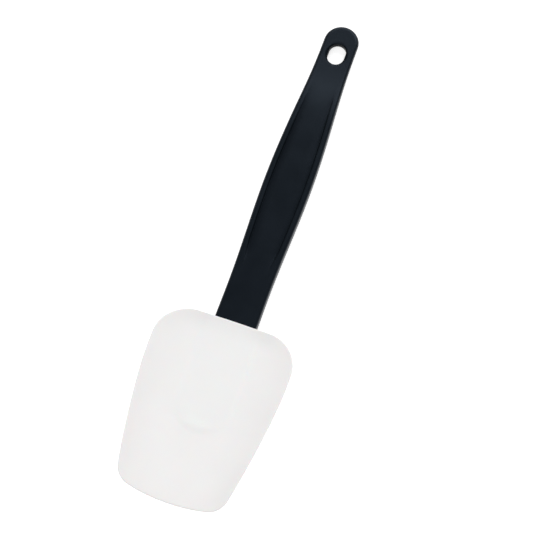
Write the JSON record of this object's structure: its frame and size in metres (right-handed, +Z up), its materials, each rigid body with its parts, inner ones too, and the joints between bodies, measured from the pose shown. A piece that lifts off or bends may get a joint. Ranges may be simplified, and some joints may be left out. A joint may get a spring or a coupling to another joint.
{
  "type": "spoon-shaped pastry scraper",
  "caption": "Pastry spatula with a shallow spoon-shaped white silicone head pushed onto the tang of a slim dark nylon handle that has a hanging slot.",
  "frame": {"origin": "middle of the footprint, on the surface that the scraper lies on", "axes": "+Y along the tool from the scraping tip to the hanging end, +X to the right, +Z up out of the bowl"},
  "size_m": [0.0696, 0.2568, 0.0159],
  "materials": {
    "handle_nylon": "satin moulded nylon, blue-black",
    "head_silicone": "matt white silicone rubber"
  },
  "bodies": {
    "handle": {"handle": "handle_nylon"},
    "head": {"head": "head_silicone"}
  },
  "joints": [
    {"name": "head_pull", "type": "slide", "parent": "handle", "child": "head", "axis": [0, -1, 0], "range_m": [0, 0.055]}
  ]
}
